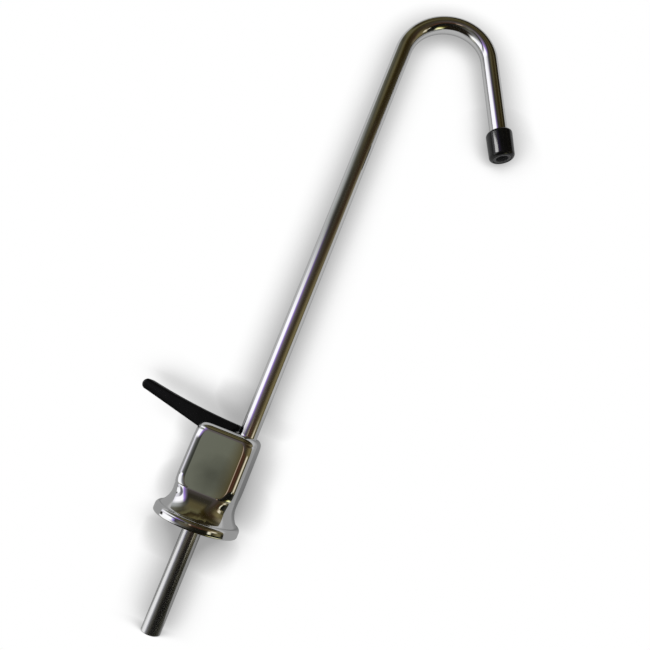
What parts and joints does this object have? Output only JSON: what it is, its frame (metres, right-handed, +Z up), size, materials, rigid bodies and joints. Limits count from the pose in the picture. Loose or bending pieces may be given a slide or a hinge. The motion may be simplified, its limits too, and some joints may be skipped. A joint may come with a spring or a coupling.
{
  "type": "jug filler spout",
  "caption": "Deck-mounted jug filler: chromed body on a round flange, black push-back lever, tall hooked swivel spout with a rubber outlet tip, and a plain inlet tube below.",
  "frame": {"origin": "centre of the flange's underside, on the inlet tube's axis", "axes": "+Z up along the inlet tube and the spout's upright, +X towards the outlet, the lever points to -X"},
  "size_m": [0.1445, 0.0448, 0.3798],
  "materials": {
    "chrome_cast": "polished chrome plate",
    "brass": "machined",
    "steel": "plain",
    "black_rubber": "matt",
    "satin_steel": "satin drawn",
    "black_plastic": "satin black moulding",
    "chrome_tube": "polished chrome plate",
    "white_plastic": "plain",
    "tip_rubber": "glossy black rubber",
    "grey_plastic": "plain"
  },
  "bodies": {
    "body": {"cover": "chrome_cast", "valve_block": "brass", "cover_screws": "steel", "base_gasket": "black_rubber", "inlet_adapter": "brass", "adapter_o_ring": "black_rubber", "inlet_tube": "satin_steel", "gland_washer": "steel", "stem_o_rings": "black_rubber", "valve_spring": "steel", "port_plug": "brass", "lever_pin": "steel", "spout_bush": "white_plastic", "spout_clip": "steel"},
    "lever": {"lever": "black_plastic"},
    "stem": {"valve_stem": "steel", "lift_pin": "steel", "valve_poppet": "brass", "seat_washer": "black_rubber", "washer_screw": "steel"},
    "spout": {"spout_tube": "chrome_tube", "spout_spigot": "brass", "spout_o_rings": "black_rubber", "outlet_tip": "tip_rubber", "outlet_ring": "grey_plastic"}
  },
  "joints": [
    {"name": "lever_press", "type": "hinge", "parent": "body", "child": "lever", "pos_m": [-0.009, 0, 0.0443], "axis": [0, -1, 0], "range_deg": [0, 12.7]},
    {"name": "stem_lift", "type": "slide", "parent": "body", "child": "stem", "axis": [0, 0, 1], "range_m": [0, 0.00199], "stiffness_N_per_m": 800, "springref_m": -0.006, "deforming": ["valve_spring"]},
    {"name": "spout_swivel", "type": "hinge", "parent": "body", "child": "spout", "pos_m": [0.0084, 0, 0.0375], "axis": [0, 0, -1], "continuous": true}
  ],
  "couplings": [
    {"joint": "lever_press", "follows": "stem_lift", "rad_per_m": 111.1}
  ]
}
